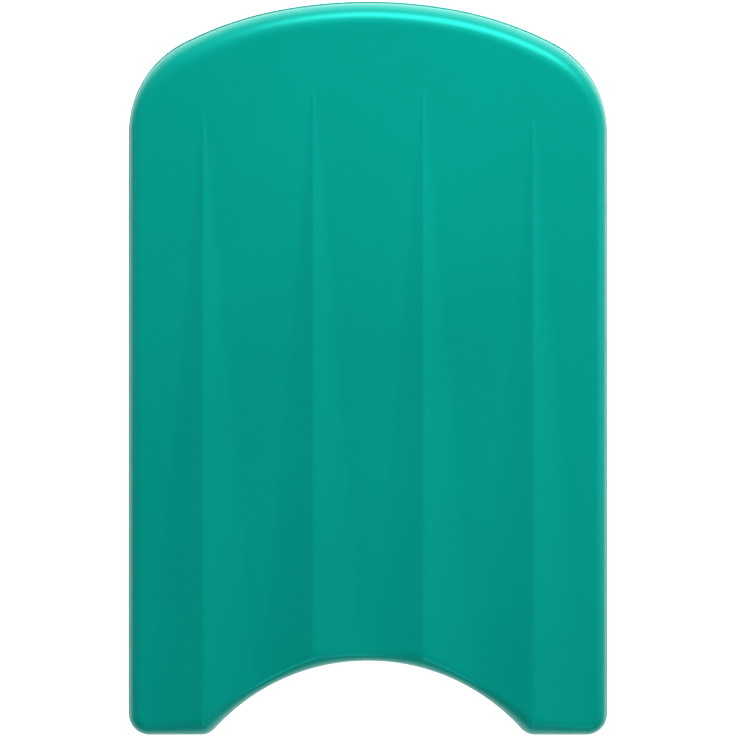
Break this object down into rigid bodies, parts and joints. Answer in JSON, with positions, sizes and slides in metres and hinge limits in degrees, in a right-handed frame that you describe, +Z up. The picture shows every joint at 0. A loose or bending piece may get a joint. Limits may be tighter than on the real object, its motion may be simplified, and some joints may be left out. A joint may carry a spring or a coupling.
{
  "type": "kickboard float",
  "caption": "Flat foam swimming kickboard with a rounded nose, a round tail notch and tapered keels moulded into its deck.",
  "frame": {"origin": "on the flat underside, below the middle of the board's box", "axes": "+X across the board, +Y towards the rounded nose, +Z up out of the ridged deck"},
  "size_m": [0.3, 0.46, 0.0389],
  "materials": {
    "skin": "satin",
    "core": "matte"
  },
  "bodies": {
    "root": {"deck_skin": "skin", "base_skin": "skin", "core_upper": "core", "core_lower": "core"}
  },
  "joints": []
}
